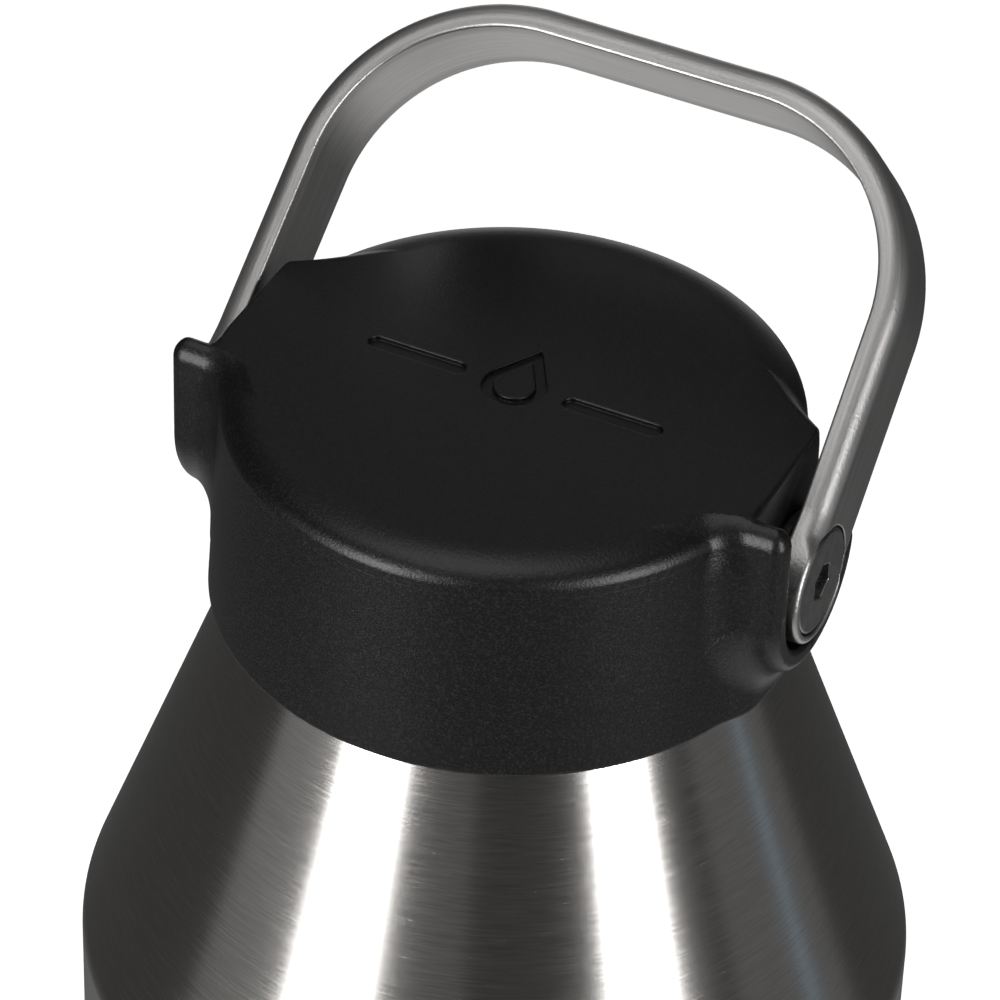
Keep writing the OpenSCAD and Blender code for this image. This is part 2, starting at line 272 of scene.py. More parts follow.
def arc_corner(before, corner, after, r, steps=16):
    """Points of the arc of radius r that rounds a corner."""
    p, q, s = (np.array(v, float) for v in (before, corner, after))
    a, b = (p - q) / np.linalg.norm(p - q), (s - q) / np.linalg.norm(s - q)
    half = math.acos(np.clip(a @ b, -1, 1)) / 2
    centre = q + (a + b) / np.linalg.norm(a + b) * r / math.sin(half)
    start, end = q + a * r / math.tan(half) - centre, q + b * r / math.tan(half) - centre
    turn = math.atan2(start[0] * end[1] - start[1] * end[0], start @ end)
    first = math.atan2(start[1], start[0])
    return [centre + r * np.array([math.cos(first + turn * k / steps), math.sin(first + turn * k / steps)])
            for k in range(steps + 1)]


def rounded(path, closed=False):
    """(r, z, radius) corners as plain points."""
    points = []
    for k, (r, z, radius) in enumerate(path):
        if radius > 0:
            after = path[(k + 1) % len(path)] if closed else path[k + 1]
            points += arc_corner(path[k - 1][:2], (r, z), after[:2], radius)
        else:
            points.append(np.array([r, z], float))
    return points


def shifted(path, d):
    """The open path moved to its left by d, with its bends kept concentric."""
    moved = []
    for k, (r, z, radius) in enumerate(path):
        q = np.array([r, z], float)
        a = q - path[k - 1][:2] if k else None
        b = np.array(path[k + 1][:2]) - q if k + 1 < len(path) else None
        a, b = (b if a is None else a), (a if b is None else b)
        a, b = a / np.linalg.norm(a), b / np.linalg.norm(b)
        left_a, left_b = np.array([-a[1], a[0]]), np.array([-b[1], b[0]])
        q = q + d * (left_a + left_b) / (1 + left_a @ left_b)
        bend = np.sign(a[0] * b[1] - a[1] * b[0])
        moved.append((q[0], q[1], radius - d * bend if radius > 0 else 0))
    return moved


def sheet_outline(path, t):
    """Closed outline of sheet metal of thickness t on the left of a path."""
    return rounded(path) + rounded(shifted(path, t))[::-1]


def refined(outline, longest):
    """The closed outline with its long sides divided."""
    points = []
    for p, q in zip(outline, outline[1:] + outline[:1]):
        parts = max(1, math.ceil(np.linalg.norm(q - p) / longest))
        points += [p + (q - p) * k / parts for k in range(parts)]
    return points


def turned(name, outline, body, nodes, material, around=256, bulge=None, sharp=35):
    """A closed (r, z) outline turned about Z. bulge(angle, r, z) is how far each point moves outwards."""
    outline = np.array(outline)
    keep = np.linalg.norm(outline - np.roll(outline, 1, 0), axis=1) > 1e-6
    outline = outline[keep]
    area = (outline[:, 0] * np.roll(outline[:, 1], -1) - np.roll(outline[:, 0], -1) * outline[:, 1]).sum()
    if area > 0:
        outline = outline[::-1]
    angle = np.arange(around) * 2 * math.pi / around
    r = np.repeat(outline[:, 0][:, None], around, 1)
    z = np.repeat(outline[:, 1][:, None], around, 1)
    if bulge:
        r = r + bulge(np.broadcast_to(angle, r.shape), r, z)
    points = np.stack([r * np.cos(angle), r * np.sin(angle), z], 2).reshape(-1, 3)
    on_axis = outline[:, 0] < 1e-6
    n = len(outline)
    index = np.arange(n * around).reshape(n, around)
    index[on_axis] = index[on_axis][:, :1]
    following = np.roll(index, -1, 0)
    faces = []
    for k in range(n):
        a, b = index[k], following[k]
        a2, b2 = np.roll(a, -1), np.roll(b, -1)
        if on_axis[k] and on_axis[(k + 1) % n]:
            continue
        if on_axis[k]:
            faces += np.stack([a, b, b2], 1).tolist()
        elif on_axis[(k + 1) % n]:
            faces += np.stack([a, b, a2], 1).tolist()
        else:
            faces += np.stack([a, b, b2, a2], 1).tolist()
    used = np.unique(np.concatenate([np.array(f) for f in faces]))
    renumber = np.full(len(points), -1)
    renumber[used] = np.arange(len(used))
    faces = [[int(renumber[v]) for v in f] for f in faces]
    piece = new_piece(name, points[used], faces, body, nodes, material)
    piece.data.set_sharp_from_angle(angle=math.radians(sharp))
    return piece


# ---------------------------------------------------------------- material tools


class Material:
    """A node material under construction, with short ways to add nodes."""

    def __init__(self, name):
        self.material = bpy.data.materials.new(name)
        self.material.use_nodes = True
        self.tree = self.material.node_tree
        self.shader = self.tree.nodes["Principled BSDF"]
        self.where = self.tree.nodes.new("ShaderNodeTexCoord").outputs["Object"]

    def set(self, **values):
        """Values that are the same all over the surface, on the shader's own sockets."""
        for key, value in values.items():
            self.shader.inputs[key.replace("_", " ")].default_value = value

    def node(self, kind, **inputs):
        """A new node with its inputs set or linked."""
        node = self.tree.nodes.new("ShaderNode" + kind)
        for key, value in inputs.items():
            self.feed(node.inputs[key.replace("_", " ")], value)
        return node

    def feed(self, socket, value):
        """Links the socket to another, or sets its value."""
        if isinstance(value, bpy.types.NodeSocket):
            self.tree.links.new(value, socket)
        else:
            socket.default_value = value

    def math(self, operation, a, b=0.0):
        """Result of a math node."""
        node = self.tree.nodes.new("ShaderNodeMath")
        node.operation = operation
        self.feed(node.inputs[0], a)
        self.feed(node.inputs[1], b)
        return node.outputs[0]

    def stretched(self, scale, where=None):
        """Coordinates scaled by a different factor along each axis."""
        node = self.tree.nodes.new("ShaderNodeMapping")
        self.feed(node.inputs["Vector"], where or self.where)
        node.inputs["Scale"].default_value = scale
        return node.outputs[0]

    def noise(self, where, scale=1.0, detail=2.0, roughness=0.5):
        """Noise from 0 to 1 at the coordinates where."""
        node = self.node("TexNoise", Vector=where, Scale=scale, Detail=detail, Roughness=roughness)
        return node.outputs["Fac"]

    def ramp(self, factor, *stops):
        """Colours by factor, through (place, grey or colour) stops."""
        node = self.node("ValToRGB", Fac=factor)
        elements = node.color_ramp.elements
        while len(elements) < len(stops):
            elements.new(1.0)
        for element, (place, value) in zip(elements, stops):
            element.position = place
            grey = isinstance(value, (int, float))
            element.color = (value, value, value, 1) if grey else (*value, 1)
        return node.outputs["Color"]

    def span(self, factor, low, high, out_low, out_high):
        """Factor mapped from low..high to out_low..out_high, and held at the ends."""
        node = self.node("MapRange", Value=factor)
        for key, value in (("From Min", low), ("From Max", high), ("To Min", out_low), ("To Max", out_high)):
            node.inputs[key].default_value = value
        return node.outputs["Result"]

    def bumped(self, *layers):
        """Bump layers as (height, distance in metres, strength)."""
        normal = None
        for height, distance, strength in layers:
            node = self.node("Bump", Height=height, Distance=distance, Strength=strength)
            if normal is not None:
                self.feed(node.inputs["Normal"], normal)
            normal = node.outputs["Normal"]
        self.feed(self.shader.inputs["Normal"], normal)

    def around_axis(self, along, turns):
        """Coordinates that run fast along a turned piece and slowly round it, as its brush lines do."""
        xyz = self.node("SeparateXYZ", Vector=self.where).outputs
        squares = [self.math("MULTIPLY", v, v) for v in xyz[:2]]
        r = self.math("MAXIMUM", self.math("SQRT", self.math("ADD", *squares)), 1e-5)
        c = self.math("MULTIPLY", self.math("DIVIDE", xyz[0], r), turns)
        s = self.math("MULTIPLY", self.math("DIVIDE", xyz[1], r), turns)
        run = self.math("MULTIPLY", self.math("SUBTRACT", xyz[2], r), along)
        return self.node("CombineXYZ", X=c, Y=s, Z=run).outputs[0]


def brushed_round(name, colour, rough, spread, grain):
    """Steel brushed round the bottle's axis."""
    m = Material(name)
    fine = m.noise(m.around_axis(along=4600.0, turns=8.0), detail=3, roughness=0.6)
    coarse = m.noise(m.around_axis(along=700.0, turns=2.0), detail=3)
    smudge = m.noise(m.where, scale=38, detail=3)
    m.set(Metallic=1.0, Anisotropic=spread, Anisotropic_Rotation=0.25)
    dark, light = ([c * k for c in colour] for k in (0.84, 1.06))
    m.feed(m.shader.inputs["Base Color"], m.ramp(fine, (0.3, tuple(dark)), (0.7, tuple(light))))
    wear = m.math("ADD", m.math("MULTIPLY", fine, 0.1), m.math("MULTIPLY", coarse, 0.03))
    wear = m.math("ADD", wear, m.math("MULTIPLY", smudge, 0.04))
    m.feed(m.shader.inputs["Roughness"], m.math("ADD", wear, rough - 0.085))
    tangent = m.tree.nodes.new("ShaderNodeTangent")
    tangent.direction_type = "RADIAL"
    tangent.axis = "Z"
    m.feed(m.shader.inputs["Tangent"], tangent.outputs[0])
    m.bumped((fine, 0.00001, grain), (coarse, 0.00001, grain * 0.12))
    return m.material


def strap_steel():
    """Steel brushed along the strap, with the orange peel of a tumbled edge."""
    m = Material("strap_steel")
    uv = m.node("Attribute")
    uv.attribute_name = "along"
    lines = m.stretched((60, 2400, 2400), uv.outputs["Vector"])
    fine = m.noise(lines, detail=4, roughness=0.65)
    width = m.node("SeparateXYZ", Vector=uv.outputs["Vector"]).outputs[1]
    edge = m.span(m.math("ABSOLUTE", width), (STRAP_W / 2 - 2.4) * MM, (STRAP_W / 2 - 1.2) * MM, 0, 1)
    grain = m.noise(m.where, scale=3200, detail=2)
    cloud = m.noise(m.where, scale=60, detail=3)
    m.set(Metallic=1.0)
    m.feed(m.shader.inputs["Base Color"],
           m.ramp(fine, (0.3, (0.46, 0.45, 0.44)), (0.7, (0.62, 0.61, 0.6))))
    wear = m.math("ADD", m.math("MULTIPLY", fine, 0.12), m.math("MULTIPLY", cloud, 0.1))
    wear = m.math("ADD", wear, m.math("MULTIPLY", edge, 0.12))
    m.feed(m.shader.inputs["Roughness"], m.math("ADD", wear, 0.2))
    m.bumped((fine, 0.00003, 0.35), (m.math("MULTIPLY", grain, edge), 0.00005, 0.6))
    return m.material


def screw_steel():
    """Turned steel of the screws, with fine rings left by the facing cut."""
    m = Material("screw_steel")
    xyz = m.node("SeparateXYZ", Vector=m.where).outputs
    rise = m.math("SUBTRACT", xyz[2], PIVOT_Z * MM)
    r = m.math("SQRT", m.math("ADD", m.math("MULTIPLY", xyz[1], xyz[1]), m.math("MULTIPLY", rise, rise)))
    rings = m.math("SINE", m.math("MULTIPLY", r, 21000))
    cloud = m.noise(m.where, scale=900, detail=3)
    m.set(Metallic=1.0)
    m.feed(m.shader.inputs["Base Color"],
           m.ramp(cloud, (0.3, (0.27, 0.265, 0.26)), (0.7, (0.37, 0.365, 0.36))))
    m.feed(m.shader.inputs["Roughness"], m.span(cloud, 0.3, 0.7, 0.24, 0.36))
    m.bumped((rings, 0.00001, 0.25), (cloud, 0.00001, 0.15))
    return m.material


def moulded_plastic(name, colour, rough, pit):
    """Moulded plastic with a spark-eroded grain of pits, painted glints as bright specks in its colour, faint
    flow clouds and scuffs.
    """
    m = Material(name)
    pit_size = 3600.0
    grain = m.noise(m.where, scale=pit_size, detail=3, roughness=0.6)
    pits = m.node("TexVoronoi", Vector=m.where, Scale=pit_size * 0.9).outputs["Distance"]
    cloud = m.noise(m.where, scale=45, detail=4)
    scratch = m.noise(m.stretched((900, 60, 300)), detail=5, roughness=0.7)
    # Painted highlight: bright specks in the base colour stand in for light caught by the tips of the grain.
    painted_glints = m.noise(m.where, scale=pit_size * 0.9, detail=2, roughness=0.7)
    low, high = ([c * k for c in colour] for k in (0.7, 2.4))
    m.feed(m.shader.inputs["Base Color"], m.ramp(painted_glints, (0.5, tuple(low)), (0.66, tuple(high))))
    shine = m.math("ADD", m.math("MULTIPLY", cloud, 0.08), m.math("MULTIPLY", grain, 0.12))
    shine = m.math("SUBTRACT", shine, m.math("MULTIPLY", scratch, 0.015))
    m.feed(m.shader.inputs["Roughness"], m.math("ADD", shine, rough - 0.08))
    m.bumped((pits, 0.00002, pit), (grain, 0.00006, pit), (scratch, 0.00001, 0.06))
    return m


def cap_plastic():
    """Black plastic of the cap, with the parting lines of its mould under the rim and down the front."""
    m = moulded_plastic("cap_plastic", (0.0052, 0.0046, 0.0047), 0.33, 0.5)
    xyz = m.node("SeparateXYZ", Vector=m.where).outputs
    off_line = m.math("ABSOLUTE", m.math("ADD", xyz[0], 0.0002))
    line = m.math("MULTIPLY", m.span(off_line, 0.00006, 0.00016, 1, 0), m.math("LESS_THAN", xyz[1], -0.02))
    below = m.math("LESS_THAN", xyz[2], (CAP_TOP - 5) * MM)
    line = m.math("MULTIPLY", line, below)
    off_ring = m.math("ABSOLUTE", m.math("SUBTRACT", xyz[2], (CAP_TOP - RIM_RISE - 0.7) * MM))
    line = m.math("MAXIMUM", line, m.span(off_ring, 0.00003, 0.00012, 0.7, 0))
    seam = m.node("Bump", Height=line, Distance=0.00003, Strength=0.35)
    seam.invert = True
    before = m.shader.inputs["Normal"].links[0].from_socket
    m.feed(seam.inputs["Normal"], before)
    m.feed(m.shader.inputs["Normal"], seam.outputs["Normal"])
    return m.material


def silicone():
    """Milky silicone rubber of the seal."""
    m = Material("silicone")
    cloud = m.noise(m.where, scale=300, detail=3)
    m.set(Subsurface_Weight=0.4, Subsurface_Scale=0.002)
    m.feed(m.shader.inputs["Base Color"], m.ramp(cloud, (0.3, (0.78, 0.78, 0.76)), (0.7, (0.86, 0.86, 0.84))))
    m.feed(m.shader.inputs["Roughness"], m.span(cloud, 0.3, 0.7, 0.38, 0.5))
    m.bumped((m.noise(m.where, scale=2500), 0.00003, 0.3))
    return m.material


def foam():
    """Rigid foam with open cells at its cut faces, the cells' hollows darkened with painted shade."""
    m = Material("foam")
    cells = m.node("TexVoronoi", Vector=m.where, Scale=1800.0).outputs["Distance"]
    # Painted shade: the colour darkens towards each cell's centre, where the bump sinks into its hollow.
    m.feed(m.shader.inputs["Base Color"], m.ramp(cells, (0.0, (0.62, 0.58, 0.46)), (0.6, (0.8, 0.77, 0.66))))
    m.feed(m.shader.inputs["Roughness"], m.span(cells, 0, 0.7, 0.95, 0.7))
    m.bumped((cells, 0.0003, 0.8))
    return m.material


def plain_metal(name, dark, light, rough):
    """Rolled or cast metal with faint clouds and grain."""
    m = Material(name)
    cloud = m.noise(m.where, scale=600, detail=4)
    m.set(Metallic=1.0)
    m.feed(m.shader.inputs["Base Color"], m.ramp(cloud, (0.3, dark), (0.7, light)))
    m.feed(m.shader.inputs["Roughness"], m.span(cloud, 0.3, 0.7, rough, rough + 0.15))
    m.bumped((m.noise(m.where, scale=2400), 0.00003, 0.4))
    return m.material


def solder_glass():
    """Dark green glass, melted into the evacuation hole."""
    m = Material("solder_glass")
    cloud = m.noise(m.where, scale=1500, detail=3)
    m.feed(m.shader.inputs["Base Color"], m.ramp(cloud, (0.3, (0.05, 0.07, 0.03)), (0.7, (0.1, 0.12, 0.05))))
    m.feed(m.shader.inputs["Roughness"], m.span(cloud, 0.3, 0.7, 0.08, 0.2))
    m.bumped((cloud, 0.00005, 0.3))
    return m.material


STEEL = brushed_round("brushed_steel", (0.6, 0.58, 0.56), 0.25, 0.75, 0.6)
LINER_STEEL = brushed_round("liner_steel", (0.66, 0.65, 0.635), 0.2, 0.4, 0.25)
STRAP_STEEL = strap_steel()
SCREW_STEEL = screw_steel()
BLACK = cap_plastic()
LINER_BLACK = moulded_plastic("liner_plastic", (0.02, 0.02, 0.021), 0.3, 0.15).material
NYLON = moulded_plastic("washer_nylon", (0.02, 0.02, 0.02), 0.5, 0.25).material
SILICONE = silicone()
FOAM = foam()
BRASS = plain_metal("brass", (0.62, 0.42, 0.15), (0.76, 0.54, 0.22), 0.25)
COPPER = plain_metal("copper", (0.72, 0.36, 0.22), (0.85, 0.45, 0.3), 0.2)
GETTER = plain_metal("getter_alloy", (0.12, 0.12, 0.12), (0.22, 0.22, 0.22), 0.6)
GLASS = solder_glass()

# ---------------------------------------------------------------- cap


def cap_side(r, z):
    """Distance to the cap's turned side: drafted wall and elliptical rim."""
    draft = (CAP_BOTTOM_R - CAP_TOP_R) / (CAP_TOP - RIM_RISE - CAP_BOTTOM)
    side = (r - CAP_TOP_R + (z - CAP_TOP + RIM_RISE) * draft) / math.hypot(1, draft)
    u = np.maximum(r - (CAP_TOP_R - RIM_RUN), 0) / RIM_RUN
    v = np.maximum(z - (CAP_TOP - RIM_RISE), 0) / RIM_RISE
    size = np.maximum(np.hypot(u, v), 1e-6)
    steep = np.hypot(u / RIM_RUN, v / RIM_RISE) / size
    rim = (size - 1) / np.maximum(steep, 1e-6)
    return np.where(v > 0, rim, side)


def swing_space(y, h):
    """Outline of the space in which the strap swings, about the pivot."""
    edge = STRAP_W / 2 + 0.25
    c, s = math.cos(REST_TILT), math.sin(REST_TILT)
    lower = math.hypot(edge, PAD_HALF)
    corner = (-edge * y - PAD_HALF * h - edge * PAD_HALF) / lower
    open_side = np.maximum(np.maximum(-y - PAD_HALF, y * c - h * s - edge), corner)
    return np.minimum(np.hypot(y, h) - PAD_HALF, open_side)


def drop(x, y, r):
    """Distance to a drop whose round part has radius r."""
    x = np.abs(x)
    on_side = (y - r / 2) * math.cos(math.pi / 6) - (x - r * math.cos(math.pi / 6)) / 2 > 0
    return np.where(on_side, x * math.cos(math.pi / 6) + y / 2 - r, np.hypot(x, y) - r)


def cap_mark(x, y):
    """The sunk mark: a hollow drop between two rounded bars."""
    beyond = np.maximum(np.abs(np.abs(x) - MARK_BAR_X) - MARK_BAR_HALF, 0)
    bar = np.hypot(beyond, y) - MARK_BAR_R
    return np.minimum(bar, np.abs(drop(x, y, MARK_DROP_R)) - MARK_RING_HALF)


def cap_field(x, y, z):
    """Distance to the cap's outer moulding."""
    r = np.hypot(x, y)
    out = np.abs(x)
    h = z - PIVOT_Z
    about = np.hypot(y, h)
    ridge_r = PAD_HALF + RIDGE_W
    front = np.maximum(np.maximum(-y - ridge_r, y + PAD_HALF - 0.6), -h)
    below = np.maximum(about - ridge_r, np.where(y > 0, h - PAD_HALF / 2, -1))
    ridge = round_meet(np.minimum(front, below), out - RIDGE_X, RIDGE_EDGE)
    crest = z - CAP_TOP + 0.05 + 0.012 * np.maximum(33 - out, 0) ** 2
    ridge = np.maximum(round_meet(ridge, crest, RIDGE_TOP_EDGE), RIDGE_INNER_X - out)
    flare = (out - PAD_X) * PAD_FLARE[0] + (np.abs(y - 0.3) - PAD_HALF - 0.3) * PAD_FLARE[1]
    pad = np.maximum(round_meet(out - PAD_X, flare, 0.7), PAD_INNER_X - out)
    soft = 1.3 * eased(3, 9, -y) + 0.3 * eased(3, 9, y)
    rolled = 0.3 * eased(25.5, 28, r) + soft * eased(22.5, 27, out)
    solid = round_meet(round_join(cap_side(r, z), pad, PAD_FILLET), z - CAP_TOP, rolled)
    fillet = RIDGE_FILLET + (RIDGE_TOP_FILLET - RIDGE_FILLET) * eased(-6, 0, z - CAP_TOP)
    solid = round_join(solid, ridge, fillet)
    solid = np.maximum(solid, z - CAP_TOP)
    pocket = round_meet(PAD_X - out, swing_space(y, h), 0.2)
    solid = round_meet(solid, -pocket, POCKET_EDGE)
    solid = round_meet(solid, CAP_BOTTOM - z, 0.4)
    inner = CAP_BOTTOM_R - CAP_WALL - (z - CAP_BOTTOM) * 0.04
    hollow = round_meet(r - inner, z - CAP_TOP + CAP_ROOF, 1.0)
    boss = np.maximum(about - BOSS_R, BOSS_X - out)
    solid = round_meet(solid, -np.maximum(hollow, -boss), 0.3)
    solid = np.maximum(solid, -np.maximum(about - INSERT_R, BOSS_X - 6 - out))
    sunk = np.maximum(cap_mark(x, y), CAP_TOP - MARK_DEPTH - z)
    return round_meet(solid, -sunk, 0.15)


def make_cap():
    """The black outer moulding, with finer cells at its edges and in its mark."""
    across = both_sides(spaced((0, 0.22), (17.0, 0.5), (25.5, 0.25), (34.9, 1)))
    deep = spaced((-31.6, 0.5), (-14.5, 0.28), (-3.6, 0.22), (6.4, 0.28), (14.5, 0.5), (31.6, 1))
    tall = spaced((CAP_BOTTOM - 0.4, 0.2), (CAP_BOTTOM + 1, 0.38), (CAP_TOP - 3, 0.22),
                  (CAP_TOP - 0.7, 0.1), (CAP_TOP + 0.2, 1))
    points, quads, normals = surface_of(cap_field, across + 0.013, deep + 0.007, tall + 0.003)
    new_piece("cap_moulding", points, quads, "cap", ["cap_shell"], BLACK, normals)


make_cap()

# ---------------------------------------------------------------- handle

TOP_X = STRAP_X - STRAP_RISE * math.tan(LEG_LEAN)
BEND = math.pi / 2 - LEG_LEAN
CUT = BEND_R * math.tan(BEND / 2)
HALF_TOP = TOP_X - CUT
ARC_END = HALF_TOP + BEND_R * BEND
PIVOT_S = ARC_END + STRAP_RISE / math.cos(LEG_LEAN) - CUT


def strap_field(s, w, t):
    """Distance to the strap laid flat: s along it from its middle, w across, t outwards."""
    beyond = np.abs(s) - PIVOT_S
    about = np.hypot(beyond, w)
    half = STRAP_W / 2 + (EYE_R - STRAP_W / 2) * eased(-6, 0, beyond)
    outline = np.minimum(np.maximum(np.abs(w) - half, beyond), about - EYE_R)
    plate = round_meet(outline, t - STRAP_T, 0.5 + 1.7 * eased(0.2, 3.4, -beyond))
    plate = round_meet(plate, -t, 0.35)
    recess = np.maximum(about - RECESS_R, STRAP_T - RECESS_DEPTH - t)
    plate = round_meet(plate, -recess, 0.12)
    return round_meet(plate, PIN_R + 0.05 - about, 0.15)


def bend_strap(s, w, t, vector=None):
    """Points, or the direction vector at them, from the flat strap to the bent and tilted one."""
    side = np.sign(s)
    run = np.abs(s)
    turn = np.clip((run - HALF_TOP) / BEND_R, 0, BEND)
    leg = np.clip(run - ARC_END, 0, PIVOT_S - ARC_END)
    tail = np.maximum(run - PIVOT_S, 0)
    turn_out = np.where(tail > 0, math.pi / 2, turn)
    c_out, s_out = np.cos(turn_out), np.sin(turn_out)
    if vector is None:
        x = np.minimum(run, HALF_TOP) + BEND_R * np.sin(turn) + t * s_out + leg * np.cos(BEND)
        z = STRAP_RISE - BEND_R + BEND_R * np.cos(turn) + t * c_out - leg * np.sin(BEND) - tail
        y, base = w, PIVOT_Z
    else:
        vs, y, vt = vector.T
        x = (vs * side) * c_out + vt * s_out
        z = -(vs * side) * s_out + vt * c_out
        base = 0
    c, sn = math.cos(REST_TILT), math.sin(REST_TILT)
    return np.stack([x * side, y * c + z * sn, z * c - y * sn + base], 1)


def make_strap():
    """The bail, made flat and then bent. Its flat coordinates steer the brush lines."""
    end = PIVOT_S + EYE_R
    along = both_sides(spaced((0, 2.0), (HALF_TOP, 0.7), (ARC_END, 2.0), (PIVOT_S - 12, 0.25),
                              (end + 0.4, 1)))
    across = both_sides(spaced((0, 0.3), (3.6, 0.2), (EYE_R + 0.4, 1)))
    thick = spaced((-0.3, 0.12), (STRAP_T + 0.3, 1))
    points, quads, normals = surface_of(strap_field, along + 0.011, across + 0.006, thick + 0.004)
    s, w, t = points.T
    placed = bend_strap(s, w, t)
    strap = new_piece("handle_bail", placed, quads, "handle", ["handle_strap"],
                      STRAP_STEEL, bend_strap(s, w, t, normals))
    flat = strap.data.attributes.new("along", "FLOAT_VECTOR", "POINT")
    flat.data.foreach_set("vector", (points * MM).astype(np.float32).ravel())


make_strap()


def screw_field(side):
    """Distance to one pivot screw: wide flat head with a hexagon socket, shoulder and threaded end."""
    head_x = STRAP_X + STRAP_T - RECESS_DEPTH + 0.05

    def field(x, y, z):
        out, h = x * side, z - PIVOT_Z
        about = np.hypot(y, h)
        head = round_meet(round_meet(about - HEAD_R, out - head_x - HEAD_T, 0.35), head_x - out, 0.1)
        shoulder = np.maximum(about - PIN_R, np.maximum(PAD_X + 0.02 - out, out - head_x - 0.5))
        stem = round_meet(about - STEM_R, BOSS_X + 0.4 - out, 0.3)
        stem = np.maximum(stem, out - PAD_X - 1)
        solid = np.minimum(round_join(head, shoulder, 0.1), stem)
        angles = (0, math.pi / 3, 2 * math.pi / 3)
        flats = [np.abs(y * math.cos(a) + h * math.sin(a)) - SOCKET_HALF for a in angles]
        socket = np.maximum(np.max(flats, axis=0), head_x - SOCKET_DEPTH - out)
        return round_meet(solid, -socket, 0.15)

    return field


def make_screws():
    """The two pivot screws. The left one is made mirrored."""
    for side, name in ((-1, "left"), (1, "right")):
        xs = spaced((BOSS_X, 0.4), (PAD_X + 1.2, 0.2), (STRAP_X + 1, 0.1), (STRAP_X + STRAP_T + 0.2, 1))
        xs = xs if side > 0 else -xs[::-1]
        reach = HEAD_R + 0.3
        ys = np.linspace(-reach, reach, 90) + 0.004
        points, quads, normals = surface_of(screw_field(side), xs + 0.003, ys, ys + PIVOT_Z)
        new_piece("screw_" + name, points, quads, "cap", ["pivot_screw_" + name],
                  SCREW_STEEL, normals)


make_screws()


def make_washers():
    """The rings between the ears and the strap, turned about Z and then laid along X."""
    for side, name in ((-1, "left"), (1, "right")):
        inner, outer = PAD_X + 0.05, STRAP_X - 0.3
        outline = rounded([(PIN_R + 0.05, inner, 0.1), (EYE_R - 0.5, inner, 0.3),
                           (EYE_R - 0.5, outer, 0.3), (PIN_R + 0.05, outer, 0.1)], closed=True)
        washer = turned("washer_ring_" + name, outline, "cap", ["washer_" + name],
                        NYLON, 96)
        lay = Matrix.Rotation(side * math.pi / 2, 4, "Y")
        washer.data.transform(Matrix.Translation((0, 0, PIVOT_Z * MM)) @ lay)


make_washers()

# ---------------------------------------------------------------- bottle

SHOULDER_Z = BODY_H + SHOULDER_R * math.tan(CONE / 2)


def thread_bulge(depth, z0, first, root_r):
    """How far a two-start thread stands out of the wall of radius root_r."""

    def bulge(angle, r, z):
        total = np.zeros_like(z)
        for start in (0, math.pi):
            turned_by = np.mod(angle - first - start, 2 * math.pi)
            end = THREAD_TURNS * 2 * math.pi
            grow = eased(0, 0.7, np.minimum(turned_by, end - turned_by))
            off = np.abs(z - z0 - LEAD * turned_by / (2 * math.pi))
            total = np.maximum(total, eased(0, 0.5, 1.0 - off) * grow)
        return total * depth * (np.abs(r - root_r) < 0.01)

    return bulge


def make_bottle():
    """The outer shell, with a fine ladder of points up its neck for the thread."""
    ledge_r = BODY_R - (LEDGE_Z - SHOULDER_Z) * math.tan(CONE)
    path = [(39.0, 0, 0), (BODY_R, 0, FOOT_R), (BODY_R, SHOULDER_Z, SHOULDER_R), (ledge_r, LEDGE_Z, 2.2),
            (NECK_R, LEDGE_Z, 1.0), (NECK_R, LIP_Z - 1.6, 0)]
    outline = refined(sheet_outline(path, SHELL_T), 12)
    neck = [np.array([NECK_R, z]) for z in np.arange(LEDGE_Z + 1.2, LIP_Z - 1.7, 0.2)]

    def on_neck(p, below):
        return abs(p[0] - NECK_R) < 1e-6 and p[1] < below

    last = max(k for k, p in enumerate(outline) if on_neck(p, LEDGE_Z + 1.1))
    above = [p for p in outline[last + 1:] if not on_neck(p, LIP_Z - 1.65)]
    outline = outline[:last + 1] + neck + above
    turned("steel_shell", outline, "bottle", ["outer_shell"], STEEL, 320,
           bulge=thread_bulge(THREAD_DEPTH, THREAD_Z, 0, NECK_R), sharp=40)


def make_liner():
    """The liner: upper half with the lip, straight tube, and floor."""
    gap = SHELL_T + VACUUM_GAP
    liner_r, neck_r = BODY_R - gap, NECK_R - SHELL_T - 0.8
    bend_z = SHOULDER_Z - gap * math.tan(CONE / 2)
    neck_z = SHOULDER_Z + (BODY_R - gap / math.cos(CONE) - neck_r) / math.tan(CONE)
    split = BODY_H - 10
    top = [(liner_r, split + 0.05, 0), (liner_r, bend_z, SHOULDER_R - gap), (neck_r, neck_z, 4),
           (neck_r, LIP_Z - 1.5, 0)]
    wall = rounded(top)
    inner = rounded(shifted(top, LINER_T))[::-1]
    lip = rounded([(NECK_R, LIP_Z - 1.55, 0), (NECK_R, LIP_Z, 0.9), (neck_r - LINER_T, LIP_Z, 0.9),
                   (neck_r - LINER_T, LIP_Z - 1.5, 0)])
    tube = [(liner_r, LINER_FOOT_Z, 0), (liner_r, split, 0)]
    pan = [(0, 13.5, 0), (22, 13.5, 6), (30, 11.5, 6), (liner_r, 11.5, 8), (liner_r, LINER_FOOT_Z - 0.05, 0)]
    outlines = (("steel_liner_top", "liner_shoulder", wall + lip + inner[1:]),
                ("steel_liner_tube", "liner_body", refined(sheet_outline(tube, LINER_T), 20)),
                ("steel_liner_pan", "liner_bottom", sheet_outline(pan, LINER_T)))
    for name, node, outline in outlines:
        turned(name, outline, "bottle", [node], LINER_STEEL)


def make_base_cover():
    """The pressed cover inside the foot ring."""
    path = [(0, 1.8, 0), (29, 1.8, 2), (32, 0.9, 2), (38.95, 0.9, 1.5), (38.95, 4.6, 0)]
    turned("base_dish", sheet_outline(path, 0.5), "bottle", ["base_cover"], STEEL)


